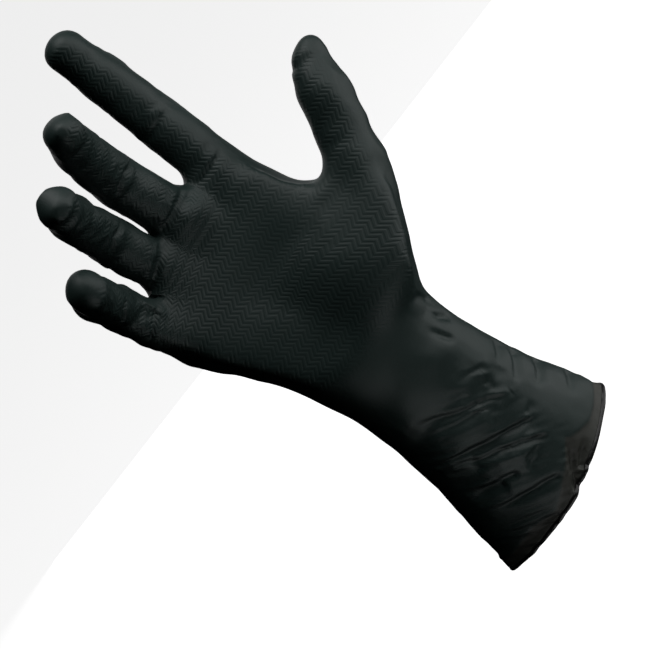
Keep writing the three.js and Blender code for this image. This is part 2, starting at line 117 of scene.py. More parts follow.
# Creases across the fingers: depth, half width, then points on the film in the hand's frame.
FINGER_CREASES = [
    # joints of the index finger
    (0.5, 0.9, [
        (22.4, -13.0, 115.9), (18.4, -16.5, 115.2), (11.6, -14.2, 115.0), (8.2, -9.6, 115.0),
    ]),
    (0.7, 1.0, [
        (22.7, -10.6, 90.2), (17.2, -13.8, 89.4), (11.0, -13.3, 89.0), (5.7, -11.0, 89.7),
    ]),
    # middle finger
    (1.3, 0.9, [
        (0.0, -27.5, 113.2), (-6.0, -39.3, 110.9), (-12.2, -38.6, 109.5), (-15.0, -33.0, 109.2),
    ]),
    (1.3, 1.0, [
        (3.8, -12.4, 93.2), (-3.7, -21.8, 90.6), (-13.8, -20.6, 89.1), (-16.6, -16.0, 88.9),
    ]),
    (0.7, 0.8, [(4.4, -12.6, 90.3), (-2.1, -20.2, 88.1), (-11.9, -20.9, 87.2)]),
    # ring finger
    (0.3, 0.9, [(-21.6, -50.0, 111.9), (-26.2, -57.1, 108.2), (-28.7, -54.7, 105.7)]),
    (1.3, 0.9, [
        (-20.3, -31.0, 102.8), (-27.2, -42.6, 99.7), (-32.0, -39.8, 97.7), (-34.4, -35.0, 97.0),
    ]),
    (1.2, 1.0, [
        (-18.6, -17.6, 88.6), (-25.8, -24.6, 83.0), (-34.5, -19.8, 79.8), (-36.6, -14.0, 79.2),
    ]),
    (0.7, 0.8, [(-19.0, -18.0, 85.8), (-25.5, -23.7, 81.4), (-32.9, -20.9, 78.9)]),
    # little finger
    (0.5, 0.9, [(-42.2, -54.0, 88.0), (-47.0, -60.7, 85.4), (-51.7, -56.4, 84.6)]),
    (1.0, 0.9, [(-41.4, -40.6, 83.4), (-46.6, -42.0, 80.5), (-52.7, -36.3, 78.8)]),
    (0.9, 0.8, [(-38.0, -22.0, 74.4), (-45.2, -27.0, 69.6), (-52.3, -19.6, 67.8)]),
    (0.45, 0.8, [(-39.0, -25.0, 75.6), (-46.3, -27.8, 71.0), (-52.6, -20.8, 69.3)]),
    # where the palm dips toward the fingers
    (0.8, 2.0, [(8.4, -14.0, 89.0), (-3.7, -21.8, 88.6), (-16.6, -18.0, 85.9)]),
    (0.8, 2.0, [(-16.0, -18.0, 85.0), (-25.8, -24.6, 81.0), (-36.6, -16.0, 77.2)]),
]

# Folds of the slack sleeve, from their soft end to their sharp one.
SLEEVE_CREASES = [
    # over the wrist
    (0.78, 1.2, [
        (17.7, -18.6, -0.7), (22.7, -14.6, -2.2), (24.6, -10.3, -5.3), (25.8, -5.3, -8.0),
    ]),
    (1.56, 1.2, [(20.4, -10.8, -10.8), (22.7, -8.0, -14.1), (25.0, -3.2, -17.4)]),
    (1.3, 0.9, [(15.0, -13.6, -13.0), (17.2, -11.4, -18.9), (19.0, -8.8, -24.4)]),
    # gathers
    (1.69, 1.1, [
        (-18.6, -9.0, -31.4), (-3.6, -9.4, -42.4), (6.1, -6.5, -47.3), (14.8, -3.8, -53.8),
    ]),
    (1.56, 0.9, [
        (-17.8, -8.2, -38.6), (-5.8, -8.2, -45.6), (3.0, -6.8, -49.5), (9.9, -4.4, -53.5),
    ]),
    (0.78, 0.8, [(12.3, -4.2, -52.4), (7.5, -4.8, -53.0), (1.2, -4.9, -53.8)]),
    (1.95, 1.1, [
        (-24.4, -2.8, -49.4), (-6.4, -2.8, -58.4), (4.8, -1.3, -63.1), (15.5, 1.6, -68.8),
    ]),
    (0.78, 0.8, [(14.4, 1.3, -67.5), (9.3, 0.5, -68.5), (2.0, -0.4, -67.8)]),
    (1.82, 1.0, [(-21.6, 0.2, -56.6), (-5.6, -1.2, -63.6), (3.6, 0.0, -69.9), (12.4, 2.9, -76.6)]),
    (0.91, 0.8, [(10.5, 2.6, -75.4), (5.7, 1.8, -75.3), (-2.2, 1.4, -74.8)]),
    (0.91, 0.8, [(7.7, 2.4, -76.0), (3.0, 2.4, -76.9), (-4.1, 2.9, -77.8)]),
    (1.82, 1.1, [(-27.2, 8.1, -77.2), (-12.2, 6.1, -83.2), (-4.1, 5.1, -86.4), (4.4, 5.5, -90.0)]),
    (1.17, 1.0, [(-28.0, 4.0, -66.0), (-17.0, 2.5, -71.0), (-6.0, 1.5, -76.0)]),
    (0.91, 1.1, [(4.2, -10.4, -34.6), (9.8, -9.6, -35.6), (18.9, -5.6, -39.9)]),
    (0.65, 1.1, [(16.5, -3.9, -44.1), (12.2, -4.9, -46.6), (7.4, -6.2, -47.8)]),
    (0.65, 1.1, [(19.2, 2.2, -62.2), (16.1, 1.1, -63.5), (12.4, 0.2, -64.3)]),
    # hollows where the rim folds over
    (3.12, 1.5, [(14.8, 5.2, -83.4), (11.2, 6.4, -88.0), (6.0, 7.1, -94.1), (0.0, 8.6, -99.5)]),
    (2.08, 1.2, [(20.4, 8.8, -88.4), (15.0, 7.6, -91.6), (9.0, 7.9, -96.0)]),
    # ripples on the thumb's side
    (1.04, 1.4, [(21.0, -1.4, -43.8), (25.3, 1.5, -41.1), (28.1, 6.6, -37.7)]),
    (1.43, 1.4, [(17.9, -1.0, -54.6), (25.3, 3.3, -50.1), (30.6, 9.2, -44.5)]),
    (1.17, 1.4, [(23.6, 4.9, -61.8), (29.6, 9.5, -58.6), (33.2, 15.4, -54.0)]),
    (1.04, 1.4, [(28.7, 10.9, -75.0), (33.7, 14.9, -71.3), (37.2, 20.4, -67.4)]),
]

# Fullness of the hand under the film: rise, radius and middle, in the hand's frame.
SWELLS = [
    (7.0, 22, (15, -23, 27)),  # ball of the thumb
    (-0.9, 7, (26.0, -10.0, 117.8)),  # the index finger is straight along its thumb side
    (-0.7, 6, (29.0, -17.0, 141.0)),
    (-0.8, 7, (70.0, -20.0, 64.0)),  # the thumb, along its outer side
]

# Where the worn film stands off or inside the solid's smooth bones: rise, then place in the
# hand's frame
TRIMS = [
    (-0.5, -58, -49, 89), (-1.3, -57, -29, 81), (-0.6, -56, -63, 95), (-1.6, -52, -11, 58),
    (1.2, -52, -18, 67), (0.3, -51, -17, 62), (-0.7, -50, -10, 52), (0.9, -48, -63, 100),
    (0.8, -47, -63, 100), (0.5, -46, -5, 42), (0.5, -46, -8, 43), (-1.3, -41, -48, 89),
    (-1.5, -40, -53, 93), (-1.1, -40, -58, 113), (-0.8, -39, -28, 82), (-0.9, -39, -30, 100),
    (-0.4, -39, -62, 114), (-0.7, -38, -72, 120), (-1.1, -37, -15, 81), (0.5, -37, -23, 90),
    (0.7, -24, -72, 119), (0.4, -22, -40, 106), (-0.4, -22, -57, 116), (0.4, -21, -32, 103),
    (-0.9, -21, -28, 112), (0.5, -20, -25, 93), (-0.3, -19, -23, 102), (0.6, -19, -41, 119),
    (-0.6, -19, -56, 130), (0.6, -13, -70, 137), (-0.3, -2, -43, 119), (-0.4, -2, -56, 125),
    (-0.6, -1, -52, 124), (-1, -1, -58, 129), (-1.2, -1, -71, 136), (-0.4, 2, -16, 94),
    (-0.4, 6, -7, 96), (-0.3, 8, -15, 140), (0.5, 9, -13, 129), (-0.4, 9, -21, 155),
    (1.3, 16, -20, 164), (0.5, 18, -22, 163), (0.4, 26, 1, -22), (0.3, 26, -7, 98),
    (0.4, 26, -13, 124), (-0.6, 27, -6, 83), (-0.5, 27, -10, 114), (-0.3, 28, -9, 71),
    (-1.3, 29, -5, -2), (-0.4, 30, -11, 61), (-1.3, 30, -7, 68), (-1.3, 33, -9, 58),
    (-1.3, 34, -11, 7), (0.6, 37, -13, 11), (-0.7, 40, -12, 15), (-0.6, 40, -13, 56),
    (0.6, 43, -14, 20), (-0.7, 46, -15, 23), (0.9, 53, -11, 31), (-0.6, 54, -16, 76),
    (-1, 62, -16, 43), (0.7, 62, -15, 84), (0.4, 68, -18, 60), (-1.9, 70, -13, 92),
    (-0.9, 74, -18, 71), (-0.6, 78, -16, 81),
]
TRIM_RADIUS = 8

# Slack on the back of the glove: depth, half width, then turn about the cuff's axis in degrees
# from the thumb's side toward the back, and height above the rim, of each end.
BACK_CREASES = [
    (1.17, 1.8, (62, 88), (112, 92)),
    (1.04, 1.7, (70, 78), (118, 80)),
    (0.91, 1.8, (75, 99), (105, 101)),
    (1.17, 1.9, (40, 66), (84, 56)),
    (1.3, 1.9, (96, 58), (138, 47)),
    (1.04, 1.7, (104, 50), (150, 38)),
    (1.17, 1.8, (140, 72), (176, 62)),
    (1.17, 1.8, (28, 44), (66, 36)),
    (1.04, 1.7, (60, 30), (98, 24)),
    (1.04, 1.7, (205, 32), (240, 24)),
]

# The rim was pulled off the former over a band, whose edge wanders: turn about the cuff's axis
# in degrees and height above the rim in millimetres, all the way round.
RIM_BAND = [
    (-120, 4.0), (-113, 3.5), (-92, 7.1), (-72, 9.8), (-57, 13.4), (-53, 10.9), (-45, 8.2),
    (-35, 5.0), (-24, 4.4), (-15, 4.9), (10, 6.0), (45, 4.4), (80, 6.4), (115, 5.0), (150, 7.2),
    (190, 5.4), (222, 7.0), (240, 4.0),
]
BAND_STEP = 0.4  # the band is thinner by this
BAND_BLUR = 0.8  # each way from its edge
LIP_RISE = 0.35  # the film thickens toward the bead
LIP_HEIGHT = 2.5

# Unevenness of the film: rise, length of its waves, and the seed of its random draws
FILM_WAVES = (0.08, 26, 3)
SLEEVE_WAVES = [(0.28, 34, 5), (0.1, 13, 8)]
GRIP_WAVES = (0.25, 45, 21)
BEAD_WAVES = (0.12, 17, 31)

TAUTNESS = 0.75  # share of the way from the palm's form to a smooth sheet over it
SLEEVE_LOOSENS = (8, -30)  # from here to here above the wrist

# Fine ridges between the gathers
RIDGE_RISE = 0.26
RIDGE_ALONG = np.array([0.83, 0.0, -0.557])
RIDGE_ACROSS = np.array([0.557, 0.0, 0.83])

# The sleeve's back is laid out flat as if the cuff were round.
CUFF_RADIUS = 30
SLEEVE_TOP = 12  # above the wrist

# Zigzag grip, measured on the film
GRIP_SPACING = 2.05
GRIP_PERIOD = 5.8
GRIP_SWING = 2.3
GRIP_HEIGHT = 0.1 * MM
GRIP_FLANK = (0.08, 0.36)  # start and end of a line's flank, as shares of the spacing
GRIP_START = (-4, 10)  # the grip comes in over this stretch above the wrist
GRIP_FACING = (0.5, 0.8)  # and where the film turns this much to the front or the back
GRIP_ON_FINGER = (10, 26)  # past the knuckle, where its lines turn to follow the finger
FINGER_FILM = 6.0  # film this near a finger takes its grip from it
BONE_BLEND = 1.5  # over this, the grip's lines go from one bone to the next
TOWARD_THUMB_PAD = np.array([-0.55, -0.83, 0])

NITRILE_IOR = 1.52

# The photograph's view as directions from the glove, and its camera
VIEW_BACK = Vector((0, -math.cos(WRIST_EXTENSION), math.sin(WRIST_EXTENSION)))
VIEW_RIGHT = Vector((0.602, -0.2733, -0.7508)).normalized()
VIEW_UP = VIEW_BACK.cross(VIEW_RIGHT).normalized()
CAMERA_PLACE = Vector((-0.0103, -0.8400, 0.4195))
PHOTO_FOCAL = 2340  # pixels
PHOTO_LONG_SIDE = 671  # pixels
SENSOR_WIDTH = 36

# Soft boxes: the side that each stands on as right, up and toward the camera, then its distance
# from the glove's middle, width, height and radiance
GLOVE_MIDDLE = Vector((0.01, 0.0, 0.13))
SOFT_BOXES = {
    "window": ((0.4, 1.0, 0.55), 0.9, 1.8, 1.1, 0.78),
    "left": ((-0.7, 0.9, 0.3), 1.2, 0.8, 0.8, 1.9),
    "right": ((1.0, 0.6, -0.2), 1.2, 1.0, 1.0, 0.85),
    "table": ((0.6, -0.9, 0.6), 1.6, 1.2, 1.2, 1.1),
    "front": ((0.35, 0.8, 0.8), 1.2, 1.0, 1.0, 0.3),
    "behind": ((-0.3, 0.3, -1.0), 1.2, 1.2, 1.2, 0.6),
}
FLOOR_DROP = 0.25  # below the cuff
FLOOR_REACH = 6


def linear(colour):
    """An sRGB hex colour as linear RGBA"""
    shares = [int(colour[i:i + 2], 16) / 255 for i in (1, 3, 5)]
    return [c / 12.92 if c <= 0.04045 else ((c + 0.055) / 1.055) ** 2.4 for c in shares] + [1.0]


def add_node(tree, kind, inputs=None, **settings):
    """Adds a node with its settings, and sets or links its inputs"""
    made = tree.nodes.new(kind)
    for name, value in settings.items():
        setattr(made, name, value)
    for socket, value in (inputs or {}).items():
        if isinstance(value, bpy.types.NodeSocket):
            tree.links.new(value, made.inputs[socket])
        else:
            made.inputs[socket].default_value = value
    return made


def new_object(name, data):
    made = bpy.data.objects.new(name, data)
    bpy.context.scene.collection.objects.link(made)
    return made


def mesh_from(bm, name):
    mesh = bpy.data.meshes.new(name)
    bm.to_mesh(mesh)
    bm.free()
    return mesh


def sort_by_points(bm):
    """Orders edges and faces by their points

    Extruding and bridging leave the new ones in another order each run.
    """
    bm.verts.index_update()
    count = len(bm.verts)

    def place(item):
        first, second, *others = sorted(vert.index for vert in item.verts)
        return (first * count + second) * count + (others[0] if others else 0)

    bm.edges.sort(key=place)
    bm.faces.sort(key=place)


def smoothstep(low, high, value):
    """From 0 at low to 1 at high, soft at both ends"""
    share = np.clip((value - low) / (high - low), 0, 1)
    return share * share * (3 - 2 * share)


def bump(distance, width):
    """1 at the middle, and almost 0 at twice the width"""
    return np.exp(-((distance / width) ** 2))


def turn_to_hand(directions):
    c, s = math.cos(WRIST_EXTENSION), math.sin(WRIST_EXTENSION)
    x, y, z = directions.T
    return np.stack([x, y * c - z * s, y * s + z * c], axis=1)


def to_hand(points):
    """World metres to millimetres in the hand's frame"""
    return turn_to_hand(points - WRIST) / MM


def above_rim(points):
    """Height above the slanted rim in millimetres"""
    return points @ np.array(RIM_UP) / MM


def slack(points, rise, length, seed):
    """Soft uneven waves, about that long and high"""
    random = np.random.default_rng(seed)
    total = np.zeros(len(points))
    waves = 12
    for _ in range(waves):
        direction = random.normal(size=3)
        direction *= random.uniform(0.7, 1.5) / np.linalg.norm(direction)
        total += np.sin(2 * math.pi * (points @ direction) / length + random.uniform(0, 6.28))
    return rise * (total / math.sqrt(2 * waves))


def fine_ridges(hand, facing):
    """Fine streaks between the cuff's gathers, which run the way the gathers do

    They lie below the wrist on the palm's side, away from the thumb.
    """
    random = np.random.default_rng(12)
    total = np.zeros(len(hand))
    waves = 10
    for _ in range(waves):
        wave = RIDGE_ACROSS * random.uniform(0.22, 0.36)
        wave += RIDGE_ALONG * random.uniform(-0.05, 0.05)
        total += np.sin(2 * math.pi * (hand @ wave) + random.uniform(0, 6.28))
    gathered = smoothstep(-32, -42, hand[:, 2]) * smoothstep(22, 8, hand[:, 0])
    gathered *= smoothstep(0.1, 0.5, -facing[:, 1])
    return RIDGE_RISE * (gathered * total / math.sqrt(2 * waves))


def along_line(points, normals, line, reach):
    """Distance and offset over the film from a line of points, and the share of its length"""
    line = np.array(line, float)
    lengths = np.linalg.norm(np.diff(line, axis=0), axis=1)
    nearest = np.full(len(points), FAR)
    offsets = np.zeros((len(points), 3))
    share = np.zeros(len(points))
    for i, length in enumerate(lengths):
        step = line[i + 1] - line[i]
        t = np.clip(((points - line[i]) @ step) / length**2, 0, 1)
        offset = points - line[i] - t[:, None] * step
        flat = offset - normals * np.sum(offset * normals, axis=1)[:, None]
        within = np.linalg.norm(offset, axis=1) <= reach
        distance = np.where(within, np.linalg.norm(flat, axis=1), FAR)
        closer = distance < nearest
        nearest = np.where(closer, distance, nearest)
        offsets = np.where(closer[:, None], flat, offsets)
        share = np.where(closer, (lengths[:i].sum() + t * length) / lengths.sum(), share)
    return nearest, offsets, share


def valley(distance, toward_wrist, width, flanks):
    """A valley with its steep side toward the fingertips, where the film tucks under"""
    steep, gentle = flanks
    turned = smoothstep(-0.7, 0.7, toward_wrist / np.maximum(distance, 0.01))
    return bump(distance, width * (steep + (gentle - steep) * turned))


def sleeve_fold(distance, toward_rim, share, depth, width):
    """A narrow fold, soft at its start and short at its end"""
    fade = smoothstep(0, 0.5, share) * smoothstep(1, 0.85, share)
    return -depth * fade * valley(distance, toward_rim, width, SLEEVE_FLANKS)


def finger_crease(distance, toward_wrist, share, depth, width):
    """A tucked line with the fuller pad on the wrist's side"""
    fade = smoothstep(0, 0.25, share) * smoothstep(1, 0.75, share)
    pad = bump(distance - 5 * width, 3.5 * width) * smoothstep(-0.5, 0.5, toward_wrist)
    tuck = valley(distance, toward_wrist, width, FINGER_FLANKS)
    return depth * fade * (PAD_RISE * pad - tuck)


def taut_palm(hand, facing):
    """How far the film, pulled taut, stands off the palm's hollows and mounds

    A gently curved sheet is fitted to the palm, and the film goes most of the way to it.
    """
    x, y, z = hand.T
    inside = smoothstep(-50, -36, x) * smoothstep(56, 38, x + 0.3 * z - 12)
    inside *= smoothstep(-4, 16, z) * smoothstep(84, 70, z) * smoothstep(0.55, 0.85, -facing[:, 1])
    across, up = x / 40, z / 40
    terms = np.stack([x**0, across, up, across**2, across * up, up**2], axis=1)
    palm = inside > 0.3
    sheet, *_ = np.linalg.lstsq(terms[palm], y[palm], rcond=None)
    return TAUTNESS * inside * (y - terms @ sheet)


def turn_about_cuff(points):
    """Degrees about the cuff's axis, from -120 to 240"""
    return (np.degrees(np.arctan2(points[:, 1], points[:, 0])) + 120) % 360 - 120


def rim_band(points):
    """1 on the band by the rim and 0 above it"""
    turns, heights = zip(*RIM_BAND)
    edge = np.interp(turn_about_cuff(points), turns, heights)
    return smoothstep(-BAND_BLUR, BAND_BLUR, edge - above_rim(points))


def back_folds(points):
    """Height of the folds on the back of the sleeve"""
    turn = np.radians(turn_about_cuff(points))
    unrolled = np.stack([turn * CUFF_RADIUS, points[:, 2] / MM, 0 * turn], axis=1)
    outward = np.tile([0.0, 0.0, 1.0], (len(points), 1))
    height = np.zeros(len(points))
    for depth, width, *ends in BACK_CREASES:
        line = [(math.radians(angle) * CUFF_RADIUS, rise, 0) for angle, rise in ends]
        distance, offsets, share = along_line(unrolled, outward, line, CREASE_REACH)
        height += sleeve_fold(distance, -offsets[:, 1], share, depth, width)
    return height * (to_hand(points)[:, 2] < SLEEVE_TOP)


def pressed(points, normals):
    """Height of the film's creases and slack over its smooth form, in millimetres"""
    hand, facing = to_hand(points), turn_to_hand(normals)
    toward_wrist = np.array([0, 0.5, -0.85])
    height = np.zeros(len(points))
    for creases, shape in ((FINGER_CREASES, finger_crease), (SLEEVE_CREASES, sleeve_fold)):
        for depth, width, line in creases:
            low, high = np.min(line, axis=0) - CREASE_REACH, np.max(line, axis=0) + CREASE_REACH
            near = np.all((hand > low) & (hand < high), axis=1)
            distance, offsets, share = along_line(hand[near], facing[near], line, CREASE_REACH)
            height[near] += shape(distance, offsets @ toward_wrist, share, depth, width)
    height += taut_palm(hand, facing)
    trims = [(rise, TRIM_RADIUS, middle) for rise, *middle in TRIMS]
    for rise, radius, middle in SWELLS + trims:
        height += rise * bump(np.linalg.norm(hand - np.array(middle), axis=1), radius)
    height += back_folds(points)
    height += slack(hand, *FILM_WAVES)
    loose = smoothstep(*SLEEVE_LOOSENS, hand[:, 2])
    height += loose * sum(slack(hand, *waves) for waves in SLEEVE_WAVES)
    height += fine_ridges(hand, facing)
    height -= BAND_STEP * rim_band(points)
    height += LIP_RISE * bump(above_rim(points), LIP_HEIGHT)
    return height


def finger_places(hand, facing, finger):
    """Places of the film's points on one finger

    The first result has millimetres across and along the finger's film, and how much it faces
    the grip's side. The second is the distance from the smooth finger, and the third goes from 0
    at the knuckle to 1 on the finger.
    """
    roll, turn = math.radians(finger.roll), math.radians(finger.grip_turn)
    curl = np.array([math.sin(roll), -math.cos(roll), 0])
    start, length_so_far = np.array(finger.knuckle), 0.0
    from_bones, places, distance = [], [], np.full(len(hand), np.inf)
    for i, length in enumerate(finger.bones):
        lean, bend = math.radians(finger.leans[i]), math.radians(finger.bends[i])
        straight = np.array([-math.sin(lean), 0, math.cos(lean)])
        axis = math.cos(bend) * straight + math.sin(bend) * curl
        palm_side = curl - axis * (curl @ axis)
        palm_side /= np.linalg.norm(palm_side)
        beside = np.cross(axis, palm_side)
        offset = hand - start
        step = offset @ axis
        share = np.clip(step / length, 0, 1)
        away = np.linalg.norm(offset - share[:, None] * length * axis, axis=1)
        radius, next_radius = finger.radii[i:i + 2]
        distance = np.minimum(distance, away - radius - share * (next_radius - radius))
        side = offset @ beside / radius
        places.append(np.stack([
            finger.knuckle[0] + radius * side * (1 + 0.2 * side**2),
            finger.knuckle[2] + length_so_far + step,
            facing @ (palm_side * math.cos(turn) - beside * math.sin(turn)),
        ], axis=1))
        from_bones.append(away)
        if i == 0:
            past_knuckle = smoothstep(*GRIP_ON_FINGER, step)
        start = start + length * axis
        length_so_far += length
    from_bones = np.array(from_bones)
    weights = np.exp((from_bones.min(axis=0) - from_bones) / BONE_BLEND)
    weights /= weights.sum(axis=0)
    place = sum(weight[:, None] * spot for weight, spot in zip(weights, places))
    return place, distance, past_knuckle


def grip_places(points, normals):
    """Millimetres across and along the film, and the strength of its zigzag grip"""
    hand, facing = to_hand(points), turn_to_hand(normals)
    on_finger = smoothstep(38, 50, hand[:, 0]) * smoothstep(20, 40, hand[:, 2])
    front = np.abs(facing[:, 1])
    front += on_finger * (np.abs(facing @ TOWARD_THUMB_PAD) - front)
    on_palm = np.stack([hand[:, 0], hand[:, 2], front], axis=1)
    result = on_palm.copy()
    nearest = np.full(len(hand), FINGER_FILM)
    for finger in FINGERS:
        place, distance, past_knuckle = finger_places(hand, facing, finger)
        mixed = on_palm + past_knuckle[:, None] * (place - on_palm)
        closer = distance < nearest
        nearest[closer] = distance[closer]
        result[closer] = mixed[closer]
        on_finger[closer] = past_knuckle[closer]
    uneven = np.clip(0.7 + 0.2 * on_finger + slack(hand, *GRIP_WAVES), 0.4, 1)
    on_hand = smoothstep(*GRIP_START, result[:, 1])
    result[:, 2] = smoothstep(*GRIP_FACING, result[:, 2]) * on_hand * uneven
    return result


def joined_to(start):
    """All points that edges join to the start"""
    joined, waiting = {start}, [start]
    while waiting:
        here = waiting.pop()
        for edge in here.link_edges:
            vert = edge.other_vert(here)
            if vert not in joined:
                joined.add(vert)
                waiting.append(vert)
    return joined


def film_side(outer):
    """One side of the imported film, from its fingertips down to just above the rim's bead"""
    bm = bmesh.new()
    bm.from_mesh(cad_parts["glove"].data)
    bmesh.ops.remove_doubles(bm, verts=bm.verts[:], dist=0.01 * MM)
    bmesh.ops.bisect_plane(
        bm,
        geom=bm.verts[:] + bm.edges[:] + bm.faces[:],
        plane_co=RIM_UP * RIM_CUT,
        plane_no=RIM_UP,
        clear_inner=True,
    )
    joined = joined_to(max(bm.verts, key=lambda vert: vert.co.z))
    unwanted = [vert for vert in bm.verts if (vert in joined) != outer]
    bmesh.ops.delete(bm, geom=unwanted, context="VERTS")
    by_the_cut = [vert for vert in bm.verts if vert.co.dot(RIM_UP) < RIM_CUT + CUT_ZONE]
    bmesh.ops.remove_doubles(bm, verts=by_the_cut, dist=SMALLEST_STEP)
    bmesh.ops.join_triangles(
        bm,
        faces=bm.faces[:],
        angle_face_threshold=math.radians(60),
        angle_shape_threshold=math.radians(70),
    )
    return bm


def refine_near_creases(bm):
    """Splits the coarse faces by a crease or the rim, so that its valley gets enough points"""
    middles = np.array([face.calc_center_median() for face in bm.faces])
    near = above_rim(middles) < FINE_BY_RIM
    centres, no_normals = to_hand(middles), np.zeros((len(middles), 3))
    for _, width, line in FINGER_CREASES + SLEEVE_CREASES:
        if width < BROAD:
            distance, _, _ = along_line(centres, no_normals, line, FAR)
            near |= distance < FINE_BY_CREASE + 1.5 * width
    chosen = {edge for face, close in zip(bm.faces, near) if close for edge in face.edges}
    edges = [edge for edge in bm.edges if edge in chosen]  # in the same order each run
    bmesh.ops.subdivide_edges(bm, edges=edges, cuts=1, use_grid_fill=True)


def vectors(mesh, name):
    values = np.zeros(len(mesh.vertices) * 3, np.float32)
    mesh.vertices.foreach_get(name, values)
    return values.reshape(-1, 3).astype(float)


def set_points(mesh, points):
    mesh.vertices.foreach_set("co", points.astype(np.float32).ravel())
    mesh.update()


def keep_values(mesh, name, kind, field, values):
    """Stores values for the materials, one for each point"""
    layer = mesh.attributes.new(name, kind, "POINT")
    layer.data.foreach_set(field, values.astype(np.float32).ravel())


def edge_weights(mesh):
    """The two points of each edge, and its weight in a mean: a short edge counts for more"""
    ends = np.zeros(len(mesh.edges) * 2, np.int32)
    mesh.edges.foreach_get("vertices", ends)
    ends = ends.reshape(-1, 2)
    points = vectors(mesh, "co")
    steps = np.linalg.norm(points[ends[:, 0]] - points[ends[:, 1]], axis=1)
    return ends, 1 / np.maximum(steps, 0.1 * MM)


def neighbour_mean(values, ends, weights):
    total, shares = np.zeros_like(values), np.zeros_like(values)
    for here, there in (ends.T, ends.T[::-1]):
        total += np.bincount(here, weights=weights * values[there], minlength=len(values))
        shares += np.bincount(here, weights=weights, minlength=len(values))
    return total / shares


def ironed(mesh, rounds):
    """Points of the mesh with its small unevenness taken out

    Each round pulls them in and then pushes them out a little more, which keeps the volume.
    """
    ends, weights = edge_weights(mesh)
    points = vectors(mesh, "co")
    free = smoothstep(1.5, 5, above_rim(points))
    for _ in range(rounds):
        for strength in (0.5, -0.52):
            for axis in range(3):
                mean = neighbour_mean(points[:, axis], ends, weights)
                points[:, axis] += strength * free * (mean - points[:, axis])
    return points


def mesh_copy(item):
    """The object's mesh as its modifiers or its curve shape it"""
    graph = bpy.context.evaluated_depsgraph_get()
    return bpy.data.meshes.new_from_object(item.evaluated_get(graph))


def rounded_side(bm, levels):
    """Draws one side of the film down to the rim and rounds it off

    Rounding pulls a mesh inward, so the rough mesh is first drawn out until the round one
    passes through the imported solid's points.
    """
    open_edges = [edge for edge in bm.edges if edge.is_boundary]
    drawn = bmesh.ops.extrude_edge_only(bm, edges=open_edges)["geom"]
    lower = [item for item in drawn if isinstance(item, bmesh.types.BMVert)]
    bmesh.ops.translate(bm, verts=lower, vec=-RIM_UP * RIM_CUT)
    sort_by_points(bm)
    mesh = mesh_from(bm, "film_side")
    rough = new_object("film_side", mesh)
    rounding = rough.modifiers.new("rounding", "SUBSURF")
    rounding.levels = rounding.render_levels = 1
    wanted = ironed(mesh, rounds=3)
    drawn_out = wanted.copy()
    set_points(mesh, drawn_out)
    for _ in range(3):
        drawn_out += 0.8 * (wanted - vectors(mesh_copy(rough), "co")[:len(wanted)])
        set_points(mesh, drawn_out)
    rounding.levels = rounding.render_levels = levels
    fine = mesh_copy(rough)
    bpy.data.objects.remove(rough)
    set_points(fine, ironed(fine, rounds=40))
    return fine


def finished_side(bm, levels, outward):
    """One side of the film with its creases pressed in, and the values that its material reads"""
    fine = rounded_side(bm, levels)
    points, normals = vectors(fine, "co"), vectors(fine, "normal") * outward
    grip = grip_places(points, normals)
    height = pressed(points, normals)
    if outward < 0:
        height -= INNER_GAP
        grip[:, 2] = 0
    for _ in range(2):
        height = (height + neighbour_mean(height, *edge_weights(fine))) / 2
    set_points(fine, points + normals * (height * MM)[:, None])
    keep_values(fine, "grip", "FLOAT_VECTOR", "vector", grip)
    keep_values(fine, "near_rim", "FLOAT", "value", rim_band(points))
    return fine


def glove_film(outside, inside):
    """The dipped film: its two sides, joined at the rim"""
    outer = film_side(outer=True)
    refine_near_creases(outer)
    bm = bmesh.new()
    bm.from_mesh(finished_side(outer, levels=2, outward=1))
    outer_faces = len(bm.faces)
    bm.from_mesh(finished_side(film_side(outer=False), levels=1, outward=-1))
    for number, face in enumerate(bm.faces):
        face.smooth = True
        face.material_index = 0 if number < outer_faces else 1
    rims = [edge for edge in bm.edges if edge.is_boundary]
    rim_points = ordered_loop(rims)
    bmesh.ops.bridge_loops(bm, edges=rims)
    sort_by_points(bm)
    mesh = mesh_from(bm, "glove_film")
    mesh.materials.append(outside)
    mesh.materials.append(inside)
    return new_object("glove_film", mesh), rim_points


def ordered_loop(edges):
    """The points of the outer of the rim's two loops, one after another"""
    edges = set(edges)
    start = max((vert for edge in edges for vert in edge.verts), key=lambda vert: vert.co.x)
    loop, here = [start], start
    while True:
        onward = [
            edge.other_vert(here)
            for edge in here.link_edges
            if edge in edges and edge.other_vert(here) not in loop[-2:]
        ]
        if onward[0] is start:
            return [vert.co.copy() for vert in loop]
        here = onward[0]
        loop.append(here)


def rim_bead(points, material):
    """The rolled edge of the cuff, a little uneven as dipped rims are"""
    ring = np.array(points)
    for _ in range(6):
        ring = (ring * 2 + np.roll(ring, 1, axis=0) + np.roll(ring, -1, axis=0)) / 4
    inward = -ring / np.linalg.norm(ring, axis=1)[:, None]
    ring += inward * BEAD_INSET
    curve = bpy.data.curves.new("rim_bead", "CURVE")
    curve.dimensions = "3D"
    curve.bevel_depth = BEAD_RADIUS
    curve.bevel_resolution = 3
    spline = curve.splines.new("POLY")
    spline.points.add(len(ring) - 1)
    spline.points.foreach_set("co", np.c_[ring, np.ones(len(ring))].ravel())
    spline.points.foreach_set("radius", 1 + slack(ring / MM, *BEAD_WAVES))
    spline.use_cyclic_u = True
    tube = new_object("rim_tube", curve)
    mesh = mesh_copy(tube)
    bpy.data.objects.remove(tube)
    mesh.name = "rim_bead"
    mesh.materials.append(material)
    mesh.polygons.foreach_set("use_smooth", [True] * len(mesh.polygons))
    return new_object("rim_bead", mesh)


def new_material(name):
    material = bpy.data.materials.new(name)
    material.use_nodes = True
    material.node_tree.nodes.clear()
    return material, material.node_tree


